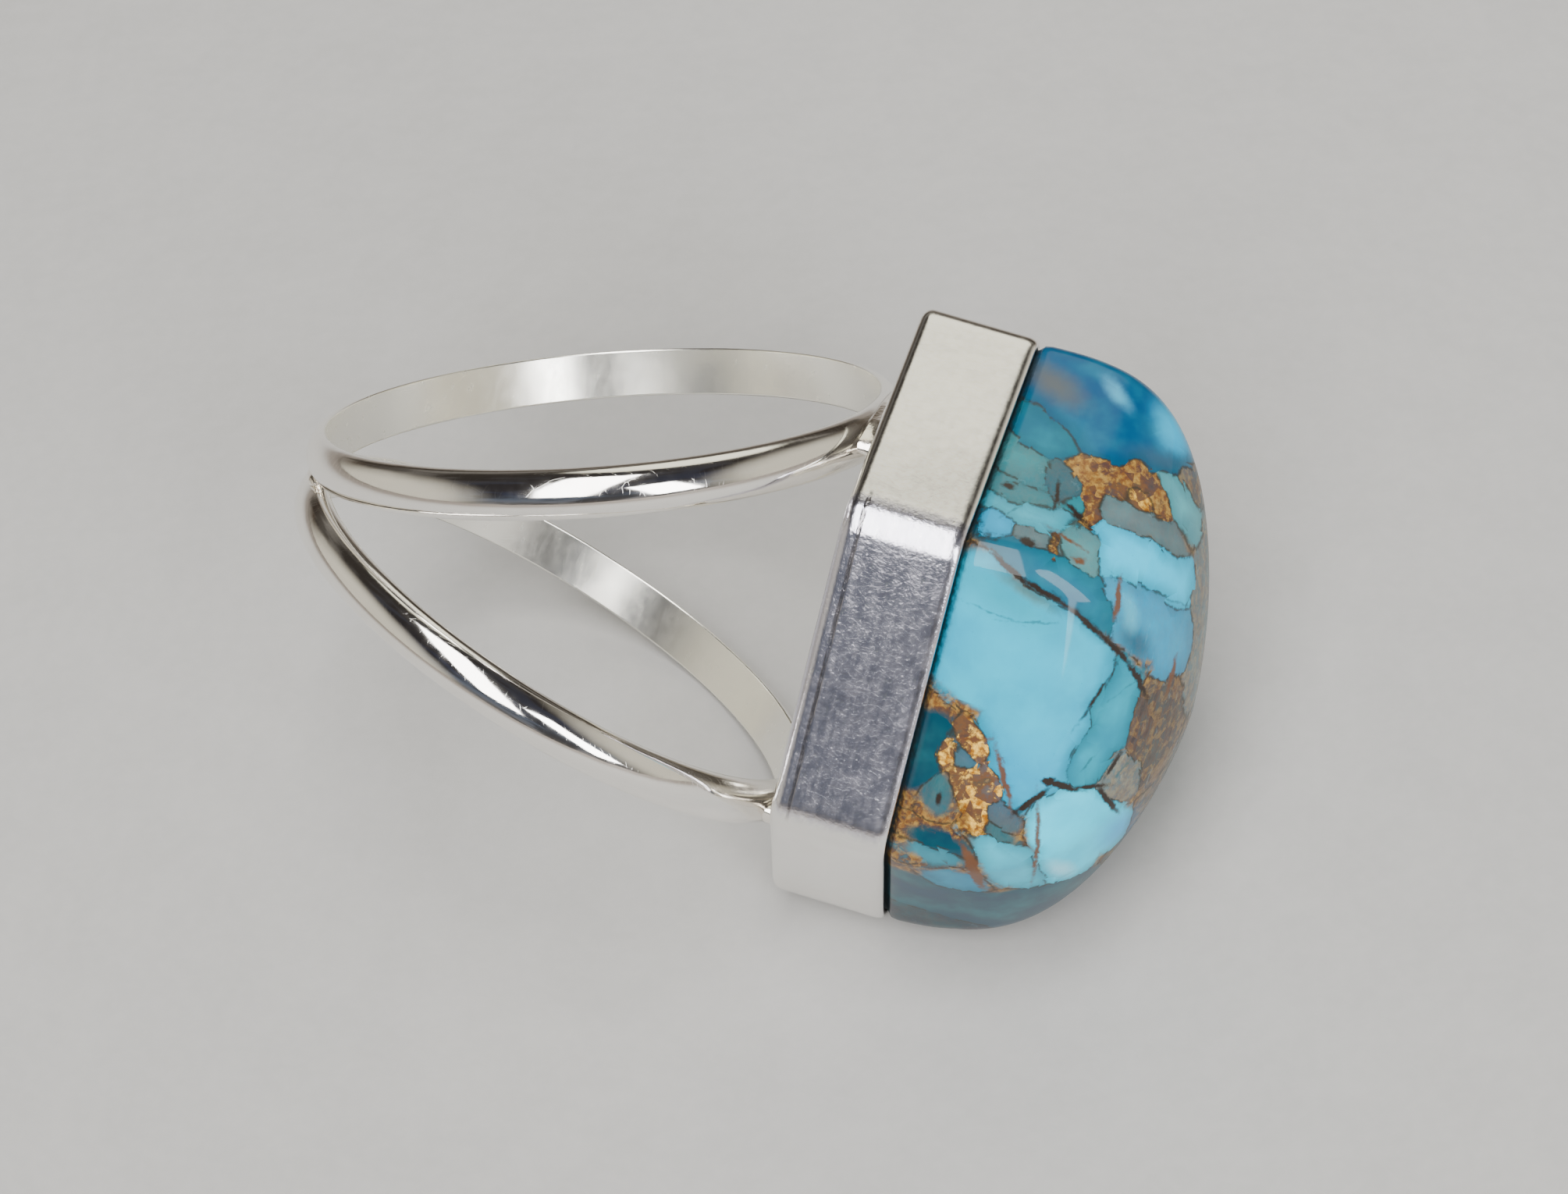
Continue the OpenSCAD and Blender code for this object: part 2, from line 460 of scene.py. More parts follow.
class Growth(NodeMaker):
    """A Geometry Nodes tree with named inputs, which is run once for a plain mesh."""

    KINDS = {
        float: "NodeSocketFloat",
        int: "NodeSocketInt",
        bpy.types.Material: "NodeSocketMaterial",
    }

    def __init__(self, name: str, values: dict[str, object]) -> None:
        """Starts a tree.

        Args:
            name: the tree's name.
            values: a value for each named input, whose type is the value's.
        """
        self.group = bpy.data.node_groups.new(name, "GeometryNodeTree")
        self.group.is_modifier = True
        super().__init__(self.group)
        self.values = values
        self.group.interface.new_socket("Geometry", in_out="OUTPUT",
                                        socket_type="NodeSocketGeometry")
        for key, value in values.items():
            self.group.interface.new_socket(key, in_out="INPUT",
                                            socket_type=self.KINDS[type(value)])

    def given(self, name: str) -> Wire:
        """A named input."""
        return self.node("NodeGroupInput", output=name)

    def grow(self, shape: Wire) -> bpy.types.Mesh:
        """Ends the tree in this shape, runs it and returns the mesh that it makes."""
        real = self.node("GeometryNodeRealizeInstances", None, shape)
        dressed = self.node("GeometryNodeSetMaterial", None, real, Material=self.given("Finish"))
        self.node("NodeGroupOutput", None, dressed)
        name = self.group.name
        holder = bpy.data.objects.new(name, bpy.data.meshes.new(name))
        bpy.context.scene.collection.objects.link(holder)
        modifier = holder.modifiers.new(name, "NODES")
        modifier.node_group = self.group
        for item in self.group.interface.items_tree:
            if item.in_out == "INPUT":
                modifier[item.identifier] = self.values[item.name]
        bpy.context.view_layer.update()
        evaluated = holder.evaluated_get(bpy.context.evaluated_depsgraph_get())
        mesh = bpy.data.meshes.new_from_object(evaluated)
        holder.modifiers.clear()
        bpy.data.objects.remove(holder)
        return mesh


class Tree(NodeMaker):
    """A material's node tree."""

    def __init__(self, name: str) -> None:
        """Starts a material of this name."""
        self.material = bpy.data.materials.new(name)
        self.material.use_nodes = True
        super().__init__(self.material.node_tree)

    def place_mm(self) -> Wire:
        """Object coordinates, turned into the head's own frame in millimetres."""
        axes, origin = HEAD.axes, HEAD.origin
        here = self.node("ShaderNodeTexCoord", output="Object")
        moved = self.vector("SUBTRACT", here, tuple(origin))
        parts = [self.vector("DOT_PRODUCT", moved, tuple(axis / MM), output="Value")
                 for axis in axes.col]
        return self.node("ShaderNodeCombineXYZ", None, *parts)

    def stretched(self, vector: Wire, scale: tuple[float, float, float]) -> Wire:
        """A vector with each coordinate scaled."""
        return self.vector("MULTIPLY", vector, scale)

    def cells(self, vector: Wire, scale: float, feature: str = "F1",
              output: str = "Distance") -> Wire:
        """Voronoi cells."""
        return self.node("ShaderNodeTexVoronoi", {"feature": feature}, output=output,
                         Vector=vector, Scale=scale)

    def bump(self, height: Wire) -> Wire:
        """Bump from a height in millimetres."""
        return self.node("ShaderNodeBump", None, Strength=1.0, Distance=MM, Height=height)

    def finish(self, **named: object) -> bpy.types.Material:
        """Ends the tree in a Principled shader with these sockets."""
        shader = self.node("ShaderNodeBsdfPrincipled", None, **named)
        self.node("ShaderNodeOutputMaterial", None, shader)
        return self.material


def colour(value: object) -> object:
    """A plain colour with full alpha; wires pass through."""
    if isinstance(value, tuple) and len(value) == 3:
        return (*value, 1.0)
    return value


# Finishes


@dataclass(frozen=True)
class Silver:
    """Sterling silver with its polish, its wear and a little tarnish.

    Where near_side isn't zero, it strengthens the pebbled surface of the side that faces the
    camera, which also gets a painted bluish shade in streaks and the joint line of plate and wall.
    """

    name: str
    tint: tuple[float, float, float] = (0.93, 0.905, 0.865)
    tarnish: tuple[float, float, float] = (0.62, 0.56, 0.44)
    polish: float = 0.07
    wear: float = 0.05
    stains: float = 0.2
    pebble: float = 0.0
    drift: float = 0.004
    grain: tuple[float, float, float] = (1.0, 1.0, 1.0)
    grain_depth: float = 0.0
    scratch: float = 0.0003
    near_side: float = 0.0
    near_band: tuple[float, float] = (-5.9, -5.6)
    streak_shade_tint: tuple[float, float, float] = (0.50, 0.49, 0.60)
    joint_band: tuple[float, float] = (0.02, 0.09)
    joint_tint: tuple[float, float, float] = (0.16, 0.14, 0.13)
    joint_depth: float = 0.012

    def make(self) -> bpy.types.Material:
        """Builds the material."""
        tree = Tree(self.name)
        here = tree.place_mm()
        cloud = tree.noise(here, 0.35, 2, 0.55)
        fine = tree.noise(here, 2.6, 3, 0.6)
        streaks = tree.noise(tree.stretched(here, self.grain), 2.4, 3, 0.6)
        stain = (cloud * 0.7 + fine * 0.3).step(0.45, 0.8) * self.stains
        scratches = tree.cells(tree.stretched(here, (0.9, 2.2, 0.5)), 2.2,
                               "DISTANCE_TO_EDGE").step(0.0, 0.012, 1.0, 0.0)
        rough = self.polish + self.wear * (fine * 0.5 + streaks * 0.5).step(0.35, 0.7)
        base = tree.mix(stain, self.tint, self.tarnish)
        orange_peel = tree.noise(here, 6.0, 2, 0.6)
        groove = 0.0
        if self.near_side:
            side = tree.part(here, "Y").step(*self.near_band, 1.0, 0.0)
            orange_peel = orange_peel * (1.0 + side * self.near_side)
            # painted shade: darker bluish streaks on the side that faces the camera
            streak_shade = side * (streaks * 0.6 + orange_peel * 0.12).step(0.3, 0.6)
            base = tree.mix(streak_shade * 0.75, base, self.streak_shade_tint)
            rough = rough + streak_shade * 0.04
            away = abs(tree.part(here, "X") + (streaks - 0.5) * 0.05 - SIZE.cup_x)
            joint = away.step(*self.joint_band, 1.0, 0.0) * streaks.step(0.3, 0.55, 0.3, 1.0)
            joint = joint * side
            base = tree.mix(joint * 0.75, base, self.joint_tint)
            groove = joint * self.joint_depth
        height = (tree.noise(here, 1.1, 2, 0.5) * self.drift
                  + orange_peel * self.pebble
                  + streaks * self.grain_depth - scratches * self.scratch - groove)
        return tree.finish(Base_Color=base, Metallic=1.0, Roughness=rough,
                           Normal=tree.bump(height))


@dataclass(frozen=True)
class PaleFloor:
    """A plain pale floor of matt paper."""

    tint: tuple[float, float, float] = (0.445, 0.44, 0.432)
    far_tint: tuple[float, float, float] = (0.2, 0.175, 0.155)
    near: float = 0.04
    far: float = 0.12
    cloud_scale: float = 420.0
    fibre_scale: float = 1700.0
    darker: float = 0.86
    lighter: float = 1.12

    def make(self) -> bpy.types.Material:
        """Builds the material, which gets darker well outside the picture."""
        tree = Tree("pale_floor")
        here = tree.node("ShaderNodeTexCoord", output="Object")
        cloud = tree.noise(here, self.cloud_scale, 2, 0.6).step(0.3, 0.7)
        fibre = tree.noise(here, self.fibre_scale, 2, 0.6)
        dark, light = (tuple(c * by for c in self.tint) for by in (self.darker, self.lighter))
        base = tree.mix(cloud * 0.3, self.tint, dark)
        base = tree.mix(fibre.step(0.3, 0.75) * 0.3, base, light)
        away = tree.vector("LENGTH", here, output="Value")
        base = tree.mix(away.step(self.near, self.far), base, self.far_tint)
        return tree.finish(Base_Color=base, Roughness=0.9)


class Grain(Enum):
    """What a chip of the stone is made of: shares of matrix, gold flecks and streaks."""

    STONE = (0.0, 0.0, 0.0)
    PALE = (0.25, 0.0, 0.2)
    BROWN = (1.0, 0.2, 0.0)
    GOLD = (1.0, 1.0, 0.0)
    LAYERS = (0.9, 0.05, 0.5)


@dataclass(frozen=True)
class Lobe:
    """An ellipse on the stone's chart, in millimetres and degrees."""

    u: float
    v: float
    half_u: float
    half_v: float
    turn: float = 0.0


@dataclass(frozen=True)
class Chip:
    """One chip of the pressed stone: its colour (sRGB), its grain and the lobes of its shape."""

    colour: tuple[int, int, int]
    grain: Grain
    lobes: tuple[Lobe, ...]


@dataclass(frozen=True)
class Stain:
    """A soft stain on the stone: its colour (sRGB), its strength and its shape."""

    colour: tuple[int, int, int]
    share: float
    lobe: Lobe


def tone(rgb: tuple[int, int, int]) -> tuple[float, float, float]:
    """A colour as it looks on a screen, turned into linear light."""
    shares = [c / 255 for c in rgb]
    return tuple(c / 12.92 if c <= 0.04045 else ((c + 0.055) / 1.055) ** 2.4 for c in shares)


DEEP, TEAL, CYAN, ICE = (0, 60, 100), (10, 88, 108), (0, 170, 204), (40, 218, 250)
GREEN, MOSS, SLATE, SKY = (40, 130, 134), (36, 90, 94), (20, 26, 28), (0, 170, 218)
RUST, EARTH, OCHRE, ASH = (88, 48, 28), (72, 52, 38), (120, 82, 26), (96, 118, 118)


def as_lobes(*rows: tuple[float, ...]) -> tuple[Lobe, ...]:
    """Lobes from rows of u, v, half sizes and turn."""
    return tuple(Lobe(*row) for row in rows)


def as_chip(tint: tuple[int, int, int], grain: Grain, *rows: tuple[float, ...]) -> Chip:
    """A chip from its colour, its grain and its lobes' rows."""
    return Chip(tint, grain, as_lobes(*rows))


# Ramps of the brown matrix and of its layered parts: place and colour
DIRT = ((0.25, tone((30, 22, 18))), (0.42, tone((72, 44, 28))), (0.55, tone((98, 66, 40))),
        (0.68, tone((74, 66, 54))), (0.8, tone((128, 104, 74))))
STRIPES = ((0.36, tone((36, 29, 24))), (0.47, tone((84, 62, 44))), (0.53, tone((54, 74, 76))),
           (0.6, tone((52, 42, 34))), (0.72, tone((126, 158, 164))))

# Chips that show on the near side: colour, grain and lobes (u, v, half sizes, turn)
CHIPS: tuple[Chip, ...] = (
    as_chip(DEEP, Grain.STONE, (5.0, 8.75, 3.6, 1.35, -3), (2.4, 9.4, 1.2, 0.8)),
    as_chip(TEAL, Grain.STONE, (2.5, 7.9, 1.1, 0.6, -12)),
    as_chip(GREEN, Grain.PALE, (1.9, 6.85, 0.85, 0.42, -8)),
    as_chip(MOSS, Grain.PALE, (3.05, 6.7, 0.6, 0.42, -20)),
    as_chip(GREEN, Grain.PALE, (1.85, 6.2, 0.75, 0.24, -4)),
    as_chip(GREEN, Grain.STONE, (3.45, 6.3, 0.36, 0.22, -10)),
    as_chip((62, 166, 184), Grain.STONE, (2.1, 5.75, 1.25, 0.24, -4)),
    as_chip(SKY, Grain.STONE, (1.2, 5.35, 0.42, 0.25)),
    as_chip(RUST, Grain.BROWN, (4.6, 7.1, 1.35, 0.42, -3), (5.35, 7.5, 0.6, 0.38),
            (4.0, 6.45, 0.35, 0.5), (6.3, 6.9, 0.65, 0.32, -60)),
    as_chip(OCHRE, Grain.GOLD, (5.45, 6.85, 0.7, 0.26, -22)),
    as_chip((86, 160, 166), Grain.STONE, (7.1, 6.75, 1.2, 0.27, -40)),
    as_chip((88, 88, 84), Grain.LAYERS, (7.7, 7.1, 0.7, 0.22, -42)),
    as_chip(ASH, Grain.PALE, (5.1, 6.25, 1.35, 0.24, -8), (6.7, 5.85, 0.6, 0.26, -38)),
    as_chip((0, 198, 240), Grain.STONE, (6.1, 4.98, 1.95, 0.55, -20), (5.0, 5.3, 0.7, 0.5)),
    as_chip(SKY, Grain.PALE, (6.6, 3.35, 1.7, 0.72, -35), (7.9, 2.5, 0.8, 0.9),
            (5.6, 4.0, 0.45, 0.4)),
    as_chip((16, 90, 112), Grain.STONE, (3.1, 4.4, 1.9, 0.4, -21)),
    as_chip(ASH, Grain.PALE, (2.35, 5.22, 0.75, 0.26, -8)),
    as_chip(RUST, Grain.BROWN, (2.75, 5.15, 0.27, 0.26)),
    as_chip((84, 150, 152), Grain.PALE, (3.75, 5.3, 0.7, 0.44, -8)),
    as_chip(CYAN, Grain.STONE, (2.5, 1.8, 2.9, 1.75, -12), (3.9, -0.6, 1.7, 1.7),
            (3.75, -2.1, 0.55, 1.05, -8), (4.6, 1.6, 1.2, 0.9, -35), (0.8, 2.6, 0.9, 1.5)),
    as_chip((10, 138, 160), Grain.STONE, (6.2, 0.6, 0.85, 1.3, 12), (5.6, -0.9, 0.9, 0.85, 10)),
    as_chip(EARTH, Grain.LAYERS, (7.6, 0.2, 0.75, 1.25, 12), (8.4, -0.4, 0.8, 1.6, 15),
            (8.1, 1.4, 0.16, 0.6, 5)),
    as_chip((120, 148, 152), Grain.LAYERS, (7.1, -1.5, 0.75, 0.6, -30), (9.2, 3.9, 0.75, 2.9, 4)),
    as_chip(SLATE, Grain.STONE, (0.55, -2.0, 0.62, 0.95, -8)),
    as_chip(MOSS, Grain.PALE, (1.35, -3.1, 0.33, 0.5, 15)),
    as_chip(OCHRE, Grain.GOLD, (2.3, -1.3, 0.62, 0.36, -10), (2.5, -2.5, 0.72, 0.6, -20),
            (2.8, -3.35, 0.26, 0.5, 12), (1.2, -1.8, 0.3, 0.4, -40)),
    as_chip((76, 92, 96), Grain.STONE, (1.85, -1.8, 0.5, 0.17, -32)),
    as_chip((78, 82, 80), Grain.PALE, (3.5, -3.2, 0.45, 0.36, -30)),
    as_chip(SLATE, Grain.STONE, (1.85, -4.55, 0.6, 0.2, -5)),
    as_chip((60, 124, 138), Grain.STONE, (1.75, -4.95, 0.5, 0.19, -2)),
    as_chip((30, 122, 152), Grain.STONE, (2.8, -5.95, 0.65, 0.42, -10)),
    as_chip((60, 176, 200), Grain.STONE, (4.15, -4.8, 1.15, 0.46, -28)),
    as_chip(MOSS, Grain.PALE, (3.55, -3.85, 0.3, 0.14, -25)),
    as_chip(ICE, Grain.STONE, (5.9, -3.1, 1.4, 0.95, -5), (7.4, -3.55, 1.25, 0.6, -22),
            (6.2, -4.55, 0.95, 0.72, -20)),
    as_chip((46, 52, 54), Grain.STONE, (3.6, -7.3, 2.6, 0.75, -10), (6.6, -6.6, 2.6, 0.8, 16)),
    as_chip((26, 29, 30), Grain.PALE, (3.6, -8.9, 3.6, 0.9, -4)),
    as_chip((70, 74, 70), Grain.LAYERS, (9.0, -3.2, 0.5, 2.2, -12)),
)

# Veins: dark ones, brown ones and hairlines (u, v, half length, half width, turn)
DARK_VEINS = as_lobes(
    (1.5, 4.33, 0.75, 0.08, -25), (2.9, 3.86, 0.95, 0.07, -17),
    (4.3, 3.27, 0.9, 0.07, -29), (5.6, 2.52, 0.95, 0.06, -34),
    (6.7, 1.6, 0.78, 0.08, -45), (3.55, 6.05, 0.4, 0.07, -25),
    (1.4, 6.3, 0.16, 0.06), (2.9, 6.4, 0.26, 0.05, 80), (2.0, 5.15, 0.22, 0.08),
    (4.2, -2.65, 0.6, 0.1, 50), (4.6, -1.85, 0.22, 0.13), (5.15, -1.95, 0.6, 0.1, -8),
    (6.0, -1.9, 0.6, 0.07, 7), (6.9, -2.35, 0.65, 0.09, -40), (1.4, -3.2, 0.08, 0.16),
    (5.4, 1.1, 0.65, 0.04, 69), (6.65, -1.1, 0.36, 0.05, 70),
)
BROWN_VEINS = as_lobes(
    (5.25, 4.05, 0.5, 0.1, -87), (8.05, 1.7, 0.5, 0.08, -85),
    (3.3, 5.4, 0.35, 0.04, -15), (3.7, 4.95, 0.16, 0.06),
    (3.2, -2.1, 0.85, 0.07, -62), (1.95, -1.1, 0.42, 0.06, 15),
    (4.85, -3.9, 1.2, 0.06, -73), (3.2, -5.3, 0.95, 0.16, -50),
)
HAIRLINES = as_lobes(
    (1.5, 2.87, 0.6, 0.025, -7), (2.7, 2.9, 0.55, 0.025, 12),
    (7.1, 4.08, 1.1, 0.02, -17), (1.6, 5.82, 0.42, 0.03, 34),
    (5.75, -1.1, 0.3, 0.03, 60), (7.1, -1.3, 0.4, 0.04, 55),
    (6.3, 1.3, 0.4, 0.02, 40),
)

# Parts where the chips stand apart and the brown matrix shows between them
BROKEN_PARTS = as_lobes(
    (2.2, -3.6, 2.4, 2.4, -10), (7.5, 0.6, 1.3, 2.6, 10), (4.6, 6.3, 3.2, 0.8, -8),
)

# Kinds of line: lobes, colour (sRGB), softness and share
LINES = (
    (HAIRLINES, (34, 84, 92), 0.03, 0.6),
    (BROWN_VEINS, (96, 62, 40), 0.06, 0.95),
    (DARK_VEINS, (40, 33, 29), 0.06, 1.0),
)

# Soft stains: colour, share and lobe
STAINS: tuple[Stain, ...] = (
    Stain((82, 84, 82), 0.85, Lobe(2.7, 9.0, 0.95, 0.4, -12)),
    Stain((20, 168, 214), 0.85, Lobe(6.9, 8.35, 1.0, 0.5, -40)),
    Stain((44, 78, 102), 0.8, Lobe(6.4, 7.75, 1.5, 0.24, -6)),
    Stain((84, 166, 200), 0.6, Lobe(4.7, 9.2, 0.5, 0.22, -30)),
    Stain((8, 52, 70), 0.85, Lobe(1.0, -0.75, 0.9, 0.34, -30)),
    Stain((20, 150, 170), 0.6, Lobe(1.8, 3.4, 2.1, 0.65, -20)),
    Stain((0, 140, 190), 0.5, Lobe(3.7, -1.6, 1.3, 1.4)),
    Stain((96, 112, 98), 0.7, Lobe(2.3, 3.78, 1.0, 0.2, -17)),
    Stain((10, 84, 112), 0.85, Lobe(6.3, 2.75, 0.8, 0.42, -40)),
    Stain((80, 204, 236), 0.7, Lobe(5.8, 3.65, 0.55, 0.25, -60)),
    Stain((20, 150, 214), 0.7, Lobe(8.0, -3.6, 0.9, 0.7)),
    Stain((168, 222, 236), 0.6, Lobe(6.2, -5.0, 0.7, 0.3, -25)),
)


@dataclass(frozen=True)
class Turquoise:
    """Pressed turquoise: chips in a brown matrix, cut by veins, under a high polish.

    The chips of the near side lie on a flat chart. Its v runs along the finger, and its u
    runs out from the bezel's rim, sheared so that it still grows across the dome's ridge.
    """

    shear: float = 0.35
    side: float = 6.4
    jag: float = 0.16
    waver: float = 0.2
    smooth_share: float = 0.3
    ridge: float = 1.2
    ridge_waver: float = 1.4
    cell_scale: float = 0.42
    clouds: tuple[int, int, int] = (8, 98, 142)
    lights: tuple[int, int, int] = (40, 214, 240)
    chip_edges: tuple[int, int, int] = (8, 66, 80)
    chip_middles: tuple[int, int, int] = (0, 206, 240)
    dark_gold: tuple[int, int, int] = (150, 92, 18)
    light_gold: tuple[int, int, int] = (250, 204, 96)
    seams: tuple[int, int, int] = (42, 42, 36)
    grout: tuple[int, int, int] = (52, 40, 32)
    rim_shade: tuple[int, int, int] = (24, 32, 34)
    pit_shade: tuple[int, int, int] = (28, 60, 74)

    def _charts(self, tree: Tree, here: Wire) -> tuple[Wire, Wire]:
        """Chart coordinates with chipped edges, and the same with nearly smooth ones."""
        x, y, z = (tree.part(here, axis) for axis in "XYZ")
        flat = tree.node("ShaderNodeCombineXYZ", None,
                         x - SIZE.rim_x + self.shear * (y + self.side), z)
        shards = tree.cells(here, 1.7, output="Color")
        soft = tree.noise(here, 2.2, 3, 0.6, output=1)
        wavering = tree.vector("MULTIPLY_ADD", soft, (self.waver,) * 3, flat)
        charts = []
        for jag in (self.jag, self.jag * self.smooth_share):
            moved = tree.vector("MULTIPLY_ADD", shards, (jag,) * 3, wavering)
            half = (jag + self.waver) / 2
            charts.append(tree.vector("SUBTRACT", moved, (half, half, 0)))
        return charts[0], charts[1]

    def _outside(self, tree: Tree, chart: Wire, lobe: Lobe) -> Wire:
        """Rough distance outside a lobe, in millimetres, and below zero inside it."""
        middle = (lobe.u, lobe.v, 0.0)
        turned = tree.node("ShaderNodeVectorRotate", {"rotation_type": "Z_AXIS"}, Vector=chart,
                           Center=middle, Angle=-math.radians(lobe.turn))
        scale = (1 / lobe.half_u, 1 / lobe.half_v, 0.0)
        shift = (-lobe.u / lobe.half_u, -lobe.v / lobe.half_v, 0.0)
        local = tree.vector("MULTIPLY_ADD", turned, scale, shift)
        length = tree.vector("LENGTH", local, output="Value")
        least = min(lobe.half_u, lobe.half_v)
        return tree.node("ShaderNodeMath", {"operation": "MULTIPLY_ADD"}, length, least, -least)

    def _nearest(self, tree: Tree, chart: Wire, lobes: tuple[Lobe, ...]) -> Wire:
        """Distance outside the nearest of some lobes."""
        nearest = self._outside(tree, chart, lobes[0])
        for lobe in lobes[1:]:
            nearest = nearest.least(self._outside(tree, chart, lobe))
        return nearest

    def _far_side(self, tree: Tree, here: Wire) -> Wire:
        """Chips of the side that the photograph doesn't show."""
        cell = tree.cells(here, self.cell_scale, output="Color")
        pick = tree.part(tree.vector("ABSOLUTE", cell), "X")
        chips = tree.ramp(pick, (0.0, tone(CYAN)), (0.3, tone(DEEP)), (0.45, tone(GREEN)),
                          (0.6, tone(SKY)), (0.78, tone(EARTH)), (0.9, tone(TEAL)))
        edge = tree.cells(here, self.cell_scale, "DISTANCE_TO_EDGE").step(0.015, 0.05, 1.0, 0.0)
        return tree.mix(edge, chips, tone(self.grout))

    def _mosaic(self, tree: Tree, chart: Wire) -> tuple[Wire, Wire, Wire, Wire]:
        """The charted chips.

        Returns:
            The distances outside the nearest chip and outside the next one, and the
            nearest one's colour and grain.
        """
        first = self._nearest(tree, chart, CHIPS[0].lobes)
        second = first + 9.0
        base, grain = tone(CHIPS[0].colour), CHIPS[0].grain.value
        for charted in CHIPS[1:]:
            outside = self._nearest(tree, chart, charted.lobes)
            nearer = tree.node("ShaderNodeMath", {"operation": "LESS_THAN"}, outside, first)
            second = second.least(outside.most(first))
            first = first.least(outside)
            base = tree.mix(nearer, base, tone(charted.colour))
            grain = tree.mix(nearer, grain, charted.grain.value)
        return first, second, base, grain

    def _stained(self, tree: Tree, chart: Wire, base: Wire) -> Wire:
        """Soft stains over the chips."""
        for stain in STAINS:
            share = self._outside(tree, chart, stain.lobe)
            least = min(stain.lobe.half_u, stain.lobe.half_v)
            share = share.step(-least * 0.9, least * 0.7, stain.share, 0.0)
            base = tree.mix(share, base, tone(stain.colour))
        return base

    def _lined(self, tree: Tree, chart: Wire, fine: Wire, base: Wire) -> Wire:
        """Veins and hairlines over the chips."""
        for lobes, tint, soft, share in LINES:
            nearest = self._nearest(tree, chart, lobes) + (fine - 0.5) * 0.14
            base = tree.mix(nearest.step(-0.03, soft, share, 0.0), base, tone(tint))
        return base

    def make(self) -> bpy.types.Material:
        """Builds the material."""
        tree = Tree("turquoise")
        here = tree.place_mm()
        chart, smooth_chart = self._charts(tree, here)
        first, second, base, grain = self._mosaic(tree, chart)
        matrix_share, gold_share, streak_share = (tree.part(grain, axis) for axis in "XYZ")

        cloud = tree.noise(here, 0.7, 3, 0.55)
        fine = tree.noise(here, 5.0, 4, 0.65)
        soil = tree.noise(here, 1.9, 4, 0.7)
        fleck = tree.part(tree.cells(here, 3.2, output="Color"), "X")
        shine = (fleck * 0.3 + cloud * 0.45 + fine * 0.5).step(0.56, 0.7)
        base = tree.mix(cloud.step(0.3, 0.72) * 0.22, base, tone(self.clouds))
        base = tree.mix((1.0 - cloud).step(0.35, 0.75) * 0.12, base, tone(self.lights))
        base = self._stained(tree, smooth_chart, base)
        edge = (second - first + (cloud - 0.5) * 0.3).step(0.0, 0.75, 0.42, 0.0)
        base = tree.mix(edge * (1.0 - matrix_share), base, tone(self.chip_edges))
        glow = (0.0 - first + (fine - 0.5) * 0.2).step(0.25, 1.3, 0.0, 0.3)
        glow = glow * tree.part(base, "Z").step(0.2, 0.5)
        base = tree.mix(glow * (1.0 - matrix_share), base, tone(self.chip_middles))

        dirt = tree.ramp(soil, *DIRT)
        layers = tree.noise(tree.stretched(here, (1.9, 1.9, 0.6)), 1.5, 4, 0.7)
        stripes = tree.ramp(layers, *STRIPES)
        gold = tree.mix(fine.step(0.35, 0.7), tone(self.dark_gold), tone(self.light_gold))
        mottled = matrix_share * (0.6 + 0.4 * soil.step(0.35, 0.6))
        base = tree.mix(mottled * (1.0 - streak_share), base, dirt)
        base = tree.mix(streak_share * 0.85, base, stripes)
        golden = shine * gold_share.step(0.05, 0.9, 0.25, 1.0) * gold_share.step(0.0, 0.1)
        base = tree.mix(golden, base, gold)

        wild = self._nearest(tree, smooth_chart, BROKEN_PARTS).step(-0.6, 0.5, 1.0, 0.0)
        gaps = (first + wild * 0.22).step(0.25, 0.5) * soil.step(0.3, 0.55, 0.4, 1.0)
        veined = (second - first + (fine - 0.5) * 0.08).step(0.01, 0.1, 1.0, 0.0)
        veined = veined * soil.step(0.36, 0.52)
        base = tree.mix(gaps, base, dirt)
        base = tree.mix(shine * gaps * 0.25, base, gold)
        base = tree.mix(veined * 0.8, base, tone(self.seams))
        # painted shadow of the bezel: the stone is darker in a strip along the rim
        rim_shadow = (tree.part(here, "X") + fine * 0.3).step(
            SIZE.rim_x + 0.15, SIZE.rim_x + 0.45, 0.95, 0.0)
        base = tree.mix(rim_shadow, base, tone(self.rim_shade))
        base = self._lined(tree, smooth_chart, fine, base)

        far = tree.part(here, "Y") + self.ridge_waver * (cloud - 0.5)
        far = far.step(self.ridge, self.ridge + 0.3)
        base = tree.mix(far, base, self._far_side(tree, here))
        pits = tree.cells(here, 7.0).step(0.05, 0.13, 1.0, 0.0) * fine.step(0.5, 0.65)
        base = tree.mix(pits * 0.45, base, tone(self.pit_shade))
        height = fine * 0.0015 - pits * 0.003
        return tree.finish(Base_Color=base, Roughness=0.36 + 0.2 * mottled, IOR=1.5,
                           Specular_IOR_Level=0.1, Coat_Weight=0.4, Coat_Roughness=0.05,
                           Metallic=golden * 0.5, Normal=tree.bump(height))


# Pieces


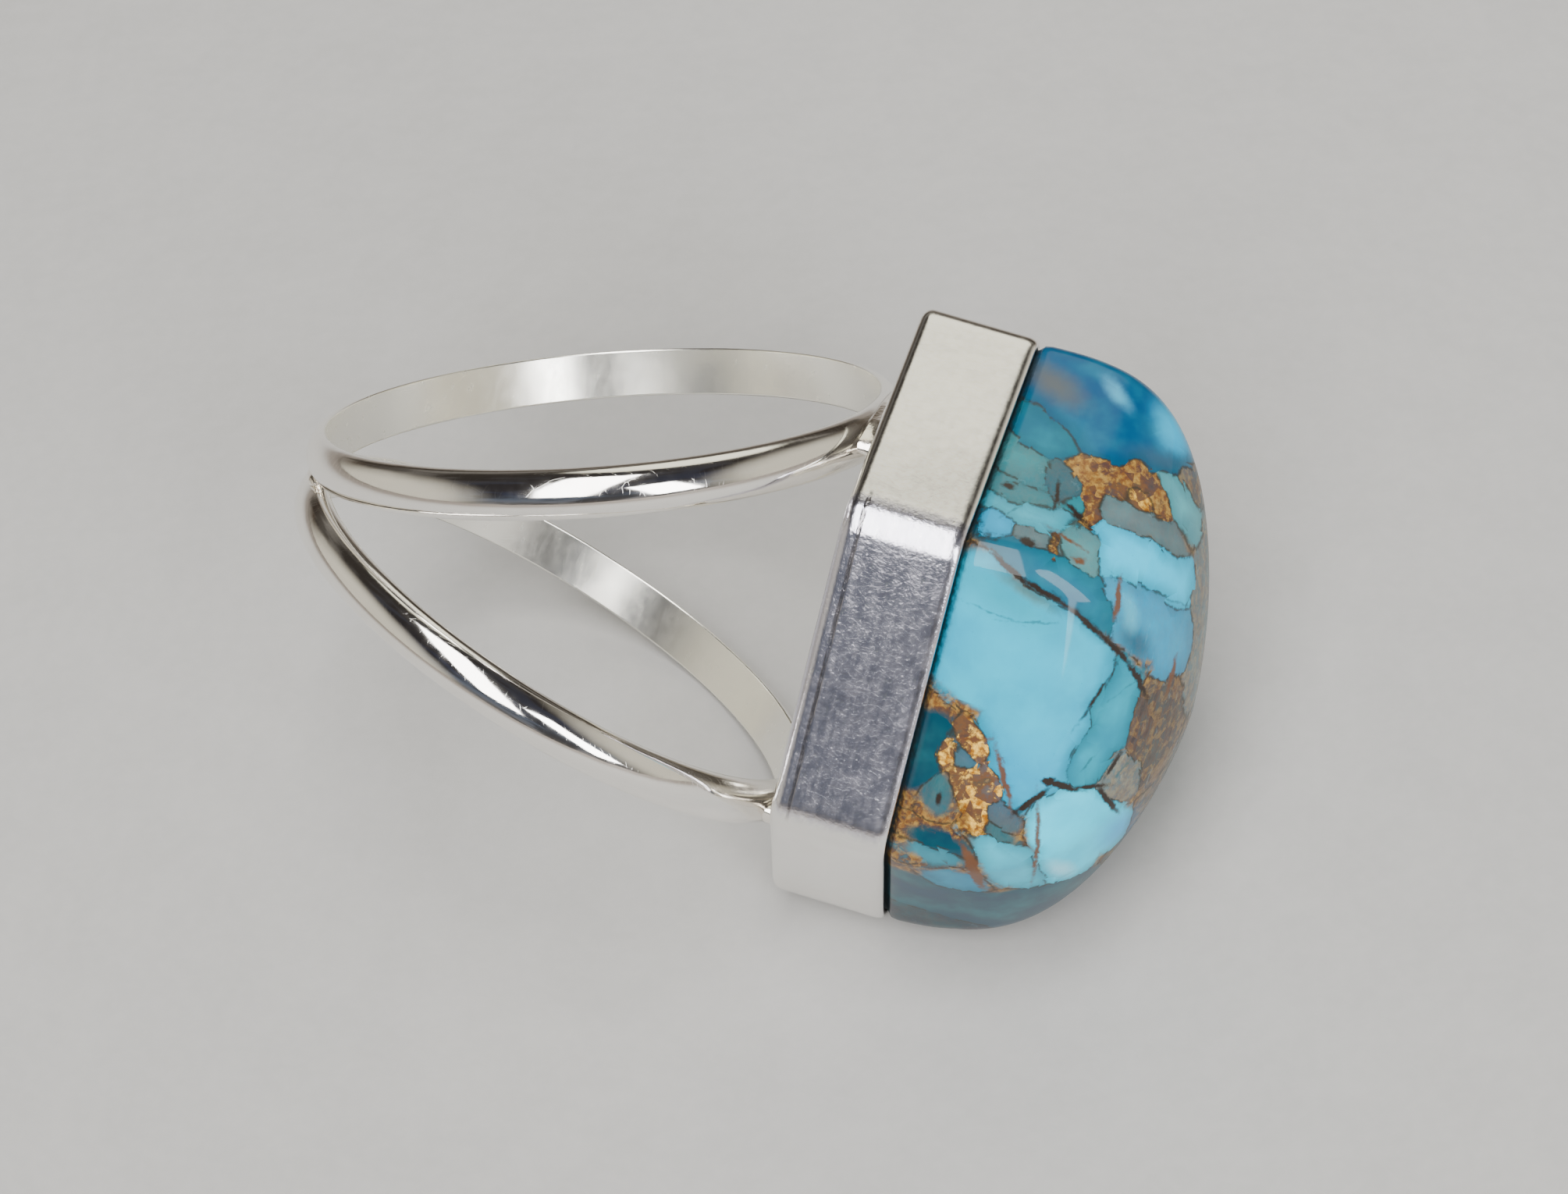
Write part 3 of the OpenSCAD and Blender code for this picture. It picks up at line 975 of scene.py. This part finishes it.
@dataclass
class Shank:
    """Two half-round bands that lean apart, soldered together at the palm and to the head."""

    steps: int = 420
    cut_points: int = 400
    profile_points: int = 64
    edge_round: float = 0.14
    waviness: float = 0.02
    wave_scale: float = 0.5
    inner_side: float = 0.035
    seam_r: float = 0.2
    seam_lift: float = 0.04
    seam_reach: float = 15.0
    seam_points: int = 90
    seam_sides: int = 20
    seam_taper: float = 14.0
    seam_swell: tuple[float, float] = (0.75, 0.6)
    seam_scale: float = 1.6
    bead_count: int = 26
    bead_r: float = 0.13
    bead_sizes: tuple[float, float] = (0.45, 0.75)
    bead_spread: tuple[float, float, float] = (0.2, 0.3, 0.34)
    bead_shift: tuple[float, float, float] = (-0.04, -0.15, -0.17)
    bead_seed: int = 7
    neck_reach: float = 21.0
    neck_stations: int = 48
    neck_half_w: float = 0.7
    neck_flare: float = 0.3
    neck_in_plate: float = 0.08
    neck_in_crown: float = 0.2
    neck_points: int = 9
    neck_hollow: float = 2.4
    neck_waviness: float = 0.03
    neck_wave: float = 1.3
    neck_seed: int = 11
    neck_waver: tuple[float, float, float] = (0, 0.3, 1)

    def _band_mesh(self, name: str, finish: bpy.types.Material) -> bpy.types.Mesh:
        """Sweeps a D-shaped section round the finger hole, about the loop's own middle."""
        growth = Growth(name, {
            "Hole radius": SIZE.hole_r, "Width": SIZE.band_w, "Crown thickness": SIZE.band_t,
            "Dome radius": SIZE.dome_r, "Edge round": self.edge_round,
            "Waviness": self.waviness, "Steps": self.steps,
            "Cut points": self.cut_points, "Section points": self.profile_points,
            "Finish": finish,
        })
        here = growth.node("GeometryNodeInputPosition")
        path = growth.node("GeometryNodeCurvePrimitiveCircle", {"mode": "RADIUS"},
                           Resolution=growth.given("Steps"), Radius=growth.given("Hole radius"))
        section = growth.node("GeometryNodeCurvePrimitiveCircle", {"mode": "RADIUS"},
                              Resolution=growth.given("Cut points"),
                              Radius=growth.given("Dome radius"))
        middle = growth.given("Crown thickness") - growth.given("Dome radius")
        half, soft = growth.given("Width") * 0.5, growth.given("Edge round")
        out = (growth.part(here, "X") + middle).most(0.0, soft)
        across = growth.part(here, "Y").least(half, soft).most(half * -1.0, soft)
        cut = growth.node("GeometryNodeSetPosition", None, section,
                          Position=growth.node("ShaderNodeCombineXYZ", None, out, across))
        rounded = growth.node("GeometryNodeResampleCurve", None, cut,
                              Count=growth.given("Section points"))
        swept = growth.node("GeometryNodeCurveToMesh", None, path, rounded)
        lumps = (growth.noise(here, self.wave_scale, 2) - 0.5) * growth.given("Waviness")
        push = growth.vector("SCALE", growth.node("GeometryNodeInputNormal"), Scale=lumps)
        return growth.grow(growth.node("GeometryNodeSetPosition", None, swept, Offset=push))

    def _loop_place(self, side: int) -> Matrix:
        """Where a loop lies in the head's frame: side is 1 for the upper band, -1 below."""
        turn = Matrix.Rotation(math.radians(SIZE.head_turn), 4, "Z")
        palm = Matrix.Translation((-SIZE.hole_r, 0, side * SIZE.palm_offset))
        lean = Matrix.Rotation(math.radians(-side * SIZE.band_lean), 4, "Y")
        out = Matrix.Translation((SIZE.hole_r, 0, 0))
        return turn @ palm @ lean @ out

    def _seam_mesh(self, finish: bpy.types.Material) -> bpy.types.Mesh:
        """An uneven run of solder along the palm, with small beads on it."""
        growth = Growth("palm_solder", {
            "Seam radius": SIZE.hole_r + self.seam_r + self.seam_lift,
            "Tube radius": self.seam_r, "Reach": math.radians(self.seam_reach),
            "Points": self.seam_points, "Sides": self.seam_sides, "Beads": self.bead_count,
            "Bead radius": self.bead_r, "Seed": self.bead_seed, "Finish": finish,
        })
        reach = growth.given("Reach")
        path = growth.node("GeometryNodeCurveArc", {"mode": "RADIUS"},
                           Resolution=growth.given("Points"), Radius=growth.given("Seam radius"),
                           Start_Angle=math.pi - reach, Sweep_Angle=reach * 2.0)
        here = growth.node("GeometryNodeInputPosition")
        share = growth.node("GeometryNodeSplineParameter")
        taper = ((share * (1.0 - share)) * self.seam_taper).least(1.0) ** 0.5
        least, more = self.seam_swell
        lumps = least + more * growth.noise(here, self.seam_scale, 2)
        section = growth.node("GeometryNodeCurvePrimitiveCircle", {"mode": "RADIUS"},
                              Resolution=growth.given("Sides"),
                              Radius=growth.given("Tube radius"))
        tube = growth.node("GeometryNodeCurveToMesh", None, path, section,
                           Scale=taper * lumps, Fill_Caps=True)
        spots = growth.node("GeometryNodeResampleCurve", None, path,
                            Count=growth.given("Beads"))
        bead = growth.node("GeometryNodeMeshIcoSphere", None, growth.given("Bead radius"), 4)
        size = growth.node("FunctionNodeRandomValue", {"data_type": "FLOAT"}, output=1,
                           Seed=growth.given("Seed"))
        off = growth.node("FunctionNodeRandomValue", {"data_type": "FLOAT_VECTOR"},
                          Seed=growth.given("Seed"))
        sunk = growth.vector("MULTIPLY_ADD", off, self.bead_spread, self.bead_shift)
        moved = growth.node("GeometryNodeSetPosition", None, spots, Offset=sunk)
        least, more = self.bead_sizes
        beads = growth.node("GeometryNodeInstanceOnPoints", None, moved, None, bead,
                            Scale=least + more * size)
        return growth.grow(growth.node("GeometryNodeJoinGeometry", None, [tube, beads]))

    def _band_point(self, side: int, angle: float, across: float) -> np.ndarray:
        """A point of a band's domed side, in the head's frame; angle 0 is at the head."""
        rise = math.sqrt(max(SIZE.dome_r**2 - across**2, 0)) - SIZE.dome_r + SIZE.band_t
        r = SIZE.hole_r + rise
        local = Vector((r * math.cos(angle), r * math.sin(angle), across))
        return np.array(self._loop_place(side) @ local)

    def _neck_mesh(self, side: int, name: str) -> bpy.types.Mesh:
        """Solder that fills the corner between a band's crown and the back plate."""
        nearest = -math.atan(math.tan(math.radians(SIZE.head_turn))
                             / math.cos(math.radians(SIZE.band_lean)))
        plate = SIZE.plate_x + self.neck_in_plate
        rings = []
        for share in np.sin(np.linspace(-math.pi / 2, math.pi / 2, self.neck_stations)):
            angle = nearest + math.radians(self.neck_reach) * share
            fade = math.sqrt(max(1 - share**2, 0.0004))
            low = self.neck_half_w * fade
            high = low + self.neck_flare * fade
            crown = self._band_point(side, angle, 0)
            axis = self._band_point(side, angle, 0.1) - self._band_point(side, angle, -0.1)
            axis[0] = 0
            axis /= np.linalg.norm(axis)
            ring = []
            for way in (1, -1):
                foot = self._band_point(side, angle, way * low)
                climb = np.linspace(0, 1, self.neck_points)
                part = [
                    (foot[0] + (plate - foot[0]) * t,
                     way * (low + (high - low) * t**self.neck_hollow))
                    for t in climb
                ]
                ring += part if way > 0 else part[::-1]
            deep = crown[0] - self.neck_in_crown
            ring += [(deep, -low * 0.6), (deep, low * 0.6)]
            points = np.array([np.append(x, crown[1:] + axis[1:] * c) for x, c in ring])
            rings.append(points)
        rings = [
            ring + self.neck_waviness * ripple(ring, self.neck_wave, self.neck_seed)[:, None]
            * self.neck_waver
            for ring in rings
        ]
        ends = (rings[0].mean(0), rings[-1].mean(0))
        return lofted(name, rings, ends, HEAD.place)

    def build(self, outside: bpy.types.Material, inside: bpy.types.Material,
              solder: bpy.types.Material) -> None:
        """Makes both bands and the solder at the palm and the head."""
        for side, name in ((1, "upper_band"), (-1, "lower_band")):
            mesh = self._band_mesh(name, outside)
            flat = [
                face.index for face in mesh.polygons
                if math.hypot(*face.center[:2]) < SIZE.hole_r + self.inner_side
            ]
            mesh.transform(HEAD.place @ self._loop_place(side))
            face_outwards(mesh)
            mesh.shade_smooth()
            piece = make_object(name, mesh, "silver", outside, inside,
                                replaces="silver_setting")
            for index in flat:
                piece.data.polygons[index].material_index = 1
            neck = f"{name}_solder"
            make_object(neck, self._neck_mesh(side, neck), "silver", solder)
        seam = self._seam_mesh(solder)
        turn = Matrix.Rotation(math.radians(SIZE.head_turn), 4, "Z")
        seam.transform(HEAD.place @ turn)
        face_outwards(seam)
        seam.shade_smooth()
        make_object("palm_solder", seam, "silver", solder, replaces="silver_setting")


@dataclass
class Head:
    """The back plate and the bezel wall with its rubbed-over rim."""

    back_round: float = 0.38
    rim_bevel: float = 0.4
    rim_in: float = 0.15
    waviness: float = 0.012
    wave: float = 4.0
    wave_seed: int = 3
    wavy_to: float = 0.35
    round_steps: int = 8
    wall_steps: int = 14
    plate_insets: tuple[float, float] = (3.0, 1.2)

    def _sections(self) -> list[tuple[float, float]]:
        """Places along X and insets, from the back plate round the rim to the cup's floor."""
        quarter = np.linspace(0, math.pi / 2, self.round_steps)
        back = [(SIZE.plate_x + self.back_round * (1 - math.sin(a)),
                 self.back_round * (1 - math.cos(a))) for a in quarter[::-1]]
        wall = [(x, 0.0) for x in np.linspace(SIZE.plate_x + self.back_round,
                                              SIZE.rim_x - self.rim_bevel, self.wall_steps)[1:]]
        rim = [(SIZE.rim_x - self.rim_bevel * (1 - math.sin(a)),
                self.rim_in * (1 - math.cos(a))) for a in quarter[1:]]
        inner = [(SIZE.rim_x - 0.02, self.rim_in + 0.06), (SIZE.rim_x - 0.1, self.rim_in + 0.12),
                 (SIZE.rim_x - 0.4, SIZE.wall_t), (SIZE.cup_x + 0.1, SIZE.wall_t),
                 (SIZE.cup_x, SIZE.wall_t + 0.1)]
        plate = [(SIZE.plate_x, inset) for inset in self.plate_insets]
        return plate + back + wall + rim + inner

    def build(self, plate: bpy.types.Material) -> None:
        """Makes the plate and the wall as one skin."""
        rings = []
        for x, inset in self._sections():
            flat = OUTLINE.ring(inset)
            ring = np.column_stack((np.full(len(flat), x), flat))
            if inset < self.wavy_to:
                away = flat / np.linalg.norm(flat, axis=1, keepdims=True)
                push = self.waviness * ripple(ring, self.wave, self.wave_seed)
                ring[:, 1:] += away * push[:, None]
            rings.append(ring)
        ends = (np.array((SIZE.plate_x, 0, 0)), np.array((SIZE.cup_x, 0, 0)))
        mesh = lofted("bezel", rings, ends, HEAD.place)
        make_object("bezel", mesh, "silver", plate, replaces="silver_setting")


@dataclass
class Cabochon:
    """The tall stone, six-sided at the rim and oval at its top."""

    around: int = 360
    dome_steps: int = 110
    rim_shares: tuple[float, ...] = (-0.02, 0.0, 0.01, 0.02, 0.03)
    top_late: float = 1.5
    least_facing: float = 0.05

    def reach(self, share: float, directions: np.ndarray, tangents: tuple) -> np.ndarray:
        """How far the stone's side lies from its middle in each direction.

        Args:
            share: height above the rim, as a share of the stone's height.
            directions: unit directions in the Y-Z plane.
            tangents: normals and heights of the outline's tangent lines.

        Returns:
            One reach in millimetres for each direction.
        """
        normals, heights = tangents
        facing = directions @ normals.T
        facing[facing < self.least_facing] = np.nan
        low_in = SIZE.wall_t + SIZE.stone_gap
        blend = min(max(share / SIZE.swell, 0), 1)
        blend = blend * blend * (3 - 2 * blend)
        inset = low_in + (SIZE.stone_inset - low_in) * blend
        outline = np.nanmin((heights - inset) / facing, axis=1)
        top = OUTLINE.corners[0].z - SIZE.stone_inset - SIZE.stone_mid_low
        bottom = -OUTLINE.corners[3].z - SIZE.stone_inset + SIZE.stone_mid_low
        side = OUTLINE.ring(SIZE.stone_inset)[:, 0].max()
        length = np.where(directions[:, 1] > 0, top, bottom)
        oval = 1 / np.hypot(directions[:, 0] / side, directions[:, 1] / length)
        mix = (share - SIZE.straight_part) / (SIZE.oval_part - SIZE.straight_part)
        mix = min(max(mix, 0), 1)
        close = (1 - max(share, 0) ** SIZE.dome_late) ** (1 / SIZE.dome_flat)
        return close * (outline * (1 - mix) + oval * mix)

    def build(self, finish: bpy.types.Material) -> None:
        """Makes the stone."""
        angles = np.arange(self.around) * 2 * math.pi / self.around
        directions = np.stack((np.cos(angles), np.sin(angles)), 1)
        tangents = OUTLINE.tangents(SIZE.stone_mid_low)
        back = -(SIZE.wall_h - SIZE.stone_gap) / SIZE.stone_h
        shares = [back, 0.4 * back, *self.rim_shares]
        shares += [math.sin(math.pi / 2 * k / self.dome_steps)
                   for k in range(4, self.dome_steps)]
        rings = []
        for share in shares:
            reach = self.reach(share, directions, tangents)
            rise = SIZE.stone_mid_top - SIZE.stone_mid_low
            middle = SIZE.stone_mid_low + rise * max(share, 0) ** self.top_late
            x = np.full(self.around, SIZE.rim_x + SIZE.stone_h * share)
            rings.append(np.column_stack((x, reach * directions[:, 0],
                                          middle + reach * directions[:, 1])))
        ends = (np.array((SIZE.cup_x + SIZE.stone_gap, 0, SIZE.stone_mid_low)),
                np.array((SIZE.rim_x + SIZE.stone_h, 0, SIZE.stone_mid_top)))
        mesh = lofted("turquoise_cabochon", rings, ends, HEAD.place)
        make_object("turquoise_cabochon", mesh, "turquoise", finish, replaces="turquoise_stone")


# Surroundings


# Ramps of the room's light, in front of the ring and behind it: upward share and colour
ROOM = ((0.0, (0.34, 0.33, 0.32)), (0.14, (0.20, 0.21, 0.24)), (0.34, (0.15, 0.18, 0.24)),
        (0.6, (0.05, 0.055, 0.09)), (1.0, (0.05, 0.05, 0.06)))
BEHIND = ((0.0, (0.30, 0.27, 0.23)), (0.1, (0.10, 0.075, 0.055)), (0.3, (0.30, 0.28, 0.25)),
          (0.6, (0.10, 0.09, 0.08)), (1.0, (0.05, 0.05, 0.06)))


@dataclass(frozen=True)
class SoftBox:
    """A soft light: azimuth runs from the camera's side to the right, in degrees."""

    name: str
    azimuth: float
    elevation: float
    distance: float
    width: float
    height: float
    watts: float
    tint: tuple[float, float, float] = (1.0, 1.0, 1.0)


@dataclass
class Studio:
    """The floor, the lights and the camera."""

    floor_half: float = 0.6
    world_strength: float = 0.8
    corner_scale: float = 3.4
    corner_tint: tuple[float, float, float] = (0.035, 0.028, 0.022)
    side_tint: tuple[float, float, float] = (1.25, 1.18, 0.98)
    patch_tint: tuple[float, float, float] = (2.15, 2.08, 1.7)
    pale_patch: tuple[float, float, float] = (0.22, 0.7, 0.68)
    boxes: tuple[SoftBox, ...] = (
        SoftBox("tall_window", -14, 64, 600, 260, 870, 7.0, (1.0, 0.99, 0.97)),
        SoftBox("side_window", 30, 28, 600, 190, 440, 3.0, (1.0, 1.0, 1.0)),
    )
    camera_at: tuple[float, float, float] = (11.88, -101.79, 123.67)
    camera_aim: tuple[float, float, float] = (0.90, -1.16, 8.53)
    camera_roll: float = -8.28
    focal_px: float = 6310.0
    photo_width: float = 2009.0
    sensor: float = 36.0

    def build(self) -> None:
        """Makes the floor, the lights and the camera."""
        self._floor()
        self._camera()
        self._world()
        self._lights()

    def _floor(self) -> None:
        """A plain floor just under the ring."""
        half = self.floor_half
        mesh = bpy.data.meshes.new("floor")
        mesh.from_pydata([(-half, -half, 0), (half, -half, 0), (half, half, 0), (-half, half, 0)],
                         [], [(0, 1, 2, 3)])
        mesh.materials.append(PaleFloor().make())
        floor = bpy.data.objects.new("floor", mesh)
        bpy.context.scene.collection.objects.link(floor)

    def _camera(self) -> None:
        """A camera where the photograph was taken from."""
        data = bpy.data.cameras.new("camera")
        data.sensor_width = self.sensor
        data.lens = self.sensor * self.focal_px / self.photo_width
        data.clip_start = 0.01
        camera = bpy.data.objects.new("camera", data)
        at, aim = Vector(self.camera_at) * MM, Vector(self.camera_aim) * MM
        view = (aim - at).to_track_quat("-Z", "Y").to_matrix().to_4x4()
        roll = Matrix.Rotation(math.radians(self.camera_roll), 4, "Z")
        camera.matrix_world = Matrix.Translation(at) @ view @ roll
        bpy.context.scene.collection.objects.link(camera)
        bpy.context.scene.camera = camera

    def _world(self) -> None:
        """A dim, uneven room with pale sides and one large pale patch high up behind the ring.

        It is cool and dark in front and overhead, and brown low down behind.
        """
        world = bpy.data.worlds.new("studio")
        bpy.context.scene.world = world
        world.use_nodes = True
        maker = NodeMaker(world.node_tree)
        way = maker.node("ShaderNodeTexCoord", output="Generated")
        up, back, side = (maker.part(way, axis) for axis in ("Z", "Y", "X"))
        patch = maker.vector("DOT_PRODUCT", way, self.pale_patch, output="Value")
        room = maker.mix(back.step(-0.1, 0.35), maker.ramp(up, *ROOM), maker.ramp(up, *BEHIND))
        corners = maker.noise(way, self.corner_scale, 2, 0.5).step(0.42, 0.58)
        room = maker.mix(corners * 0.7, room, self.corner_tint)
        room = maker.mix(abs(side).step(0.6, 0.92) * 0.8, room, self.side_tint)
        room = maker.mix(patch.step(0.925, 0.965), room, self.patch_tint)
        glow = maker.node("ShaderNodeBackground", None, room, self.world_strength)
        maker.node("ShaderNodeOutputWorld", None, glow)

    def _lights(self) -> None:
        """Soft boxes around the ring."""
        for box in self.boxes:
            data = bpy.data.lights.new(box.name, "AREA")
            data.shape = "RECTANGLE"
            data.size = box.width * MM
            data.size_y = box.height * MM
            data.energy = box.watts
            data.color = box.tint
            light = bpy.data.objects.new(box.name, data)
            up, round_to = math.radians(box.elevation), math.radians(box.azimuth)
            way = Vector((math.cos(up) * math.sin(round_to), -math.cos(up) * math.cos(round_to),
                          math.sin(up)))
            facing = (-way).to_track_quat("-Z", "Y").to_matrix().to_4x4()
            place = Matrix.Translation(way * box.distance * MM)
            light.matrix_world = place @ facing
            bpy.context.scene.collection.objects.link(light)


def main() -> None:
    """Builds the ring and its surroundings, piece by piece."""
    logging.basicConfig(level=logging.INFO, format="%(name)s: %(message)s")
    polished = Silver("polished_silver").make()
    satin = Silver("satin_silver", tint=(0.98, 0.965, 0.89), polish=0.22, wear=0.06,
                   stains=0.12, grain=(2, 2, 0.4), grain_depth=0.0, drift=0.001, scratch=0.0).make()
    wall = Silver("bezel_silver", tint=(0.93, 0.915, 0.885), polish=0.13, wear=0.1,
                  stains=0.15, pebble=0.0016, drift=0.004, grain=(2.5, 2.5, 0.35),
                  grain_depth=0.001, near_side=5.0).make()
    solder = Silver("solder_silver", tint=(0.92, 0.87, 0.80), polish=0.1, wear=0.15,
                    pebble=0.014, drift=0.012).make()
    Studio().build()
    Shank().build(polished, satin, solder)
    Head().build(wall)
    Cabochon().build(Turquoise().make())


if __name__ == "__main__":
    main()
